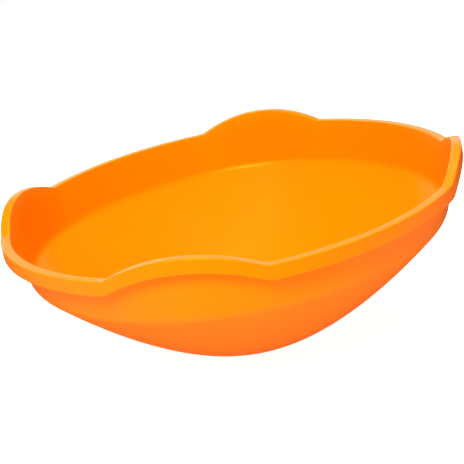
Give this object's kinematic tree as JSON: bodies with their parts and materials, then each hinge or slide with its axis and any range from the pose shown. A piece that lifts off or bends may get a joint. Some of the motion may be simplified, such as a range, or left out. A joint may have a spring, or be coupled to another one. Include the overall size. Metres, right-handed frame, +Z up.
{
  "type": "rocking bowl",
  "caption": "Child's rocking and spinning bowl: round one-piece moulded plastic shell with a blunt cone-shaped underside and raised wave hand-holds along a turned-down rim.",
  "frame": {"origin": "middle of the small flat land at the bottom of the bowl, on the surface that it stands on", "axes": "+Z up along the bowl's axis; +X and +Y each point to the middle of a raised hand-hold"},
  "size_m": [0.6012, 0.6012, 0.2389],
  "materials": {
    "orange_plastic": "semi-gloss moulded polyethylene with a fine grain"
  },
  "bodies": {
    "root": {"bowl_shell": "orange_plastic"}
  },
  "joints": []
}
